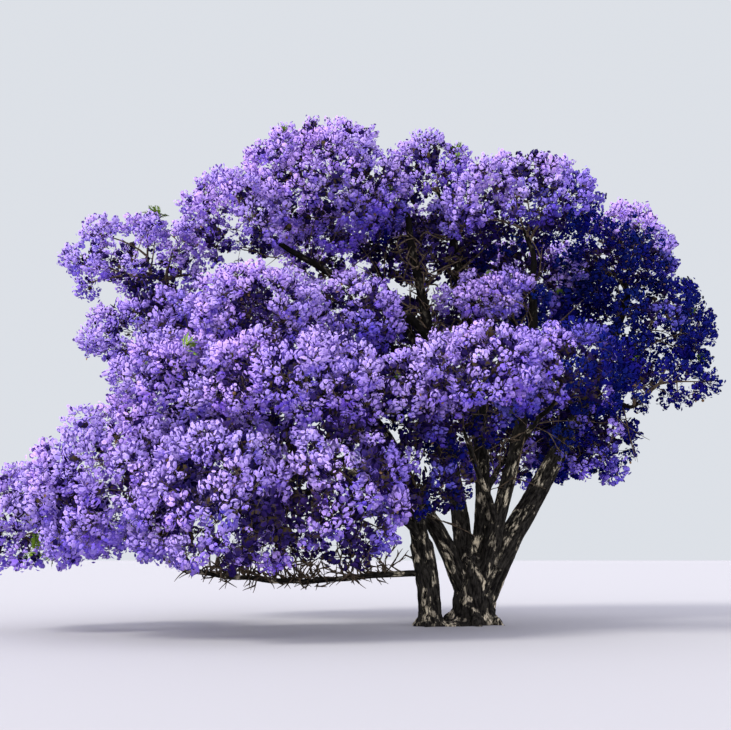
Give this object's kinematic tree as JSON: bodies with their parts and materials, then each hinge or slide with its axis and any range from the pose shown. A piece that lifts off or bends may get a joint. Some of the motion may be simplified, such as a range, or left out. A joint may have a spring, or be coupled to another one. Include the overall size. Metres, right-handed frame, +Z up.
{
  "type": "jacaranda tree",
  "caption": "Large old jacaranda in full bloom: two boles on one root crown, a fan of rising stems, and a wide billowing crown of lavender-blue blossom that hangs low on one side.",
  "frame": {"origin": "middle of the flat cut at ground level, between the two boles of the root crown", "axes": "+Z up the tree; +X towards the short, high side of the crown, across the picture to the right; +Y away from the side that the picture shows"},
  "size_m": [18.936, 13.1635, 13.538],
  "materials": {
    "bark": "rough, fissured, dark grey-brown with paler patches",
    "blossom": "soft matt petals on fine twigs"
  },
  "bodies": {
    "root": {"trunk": "bark", "left_stem": "bark", "leaning_stem": "bark", "middle_stem": "bark", "upright_stem": "bark", "inner_right_stem": "bark", "right_stem": "bark", "top_left_shoulder_bough": "bark", "right_side_bough": "bark", "right_tail_bough": "bark", "left_upper_bough": "bark", "skirt_upper_left_bough": "bark", "skirt_upper_middle_bough": "bark", "skirt_upper_right_bough": "bark", "skirt_far_left_bough": "bark", "skirt_left_bough": "bark", "skirt_middle_bough": "bark", "skirt_right_bough": "bark", "skirt_inner_bough": "bark", "middle_right_bough": "bark", "middle_far_right_bough": "bark", "over_stems_bough": "bark", "back_top_bough": "bark", "back_right_top_bough": "bark", "back_left_bough": "bark", "back_middle_bough": "bark", "back_right_bough": "bark", "back_left_low_bough": "bark", "top_left_dome": "blossom", "top_left_shoulder": "blossom", "top_middle": "blossom", "top_right_dome": "blossom", "right_shoulder": "blossom", "right_side": "blossom", "right_tail": "blossom", "left_upper": "blossom", "left_middle": "blossom", "centre_left": "blossom", "centre": "blossom", "skirt_upper_left": "blossom", "skirt_upper_middle": "blossom", "skirt_upper_right": "blossom", "skirt_far_left": "blossom", "skirt_left": "blossom", "skirt_middle": "blossom", "skirt_right": "blossom", "skirt_inner": "blossom", "middle_right": "blossom", "middle_far_right": "blossom", "over_stems": "blossom", "right_under": "blossom", "centre_right": "blossom", "upper_middle": "blossom", "back_top": "blossom", "back_right_top": "blossom", "back_left": "blossom", "back_middle": "blossom", "back_right": "blossom", "back_left_low": "blossom"}
  },
  "joints": []
}
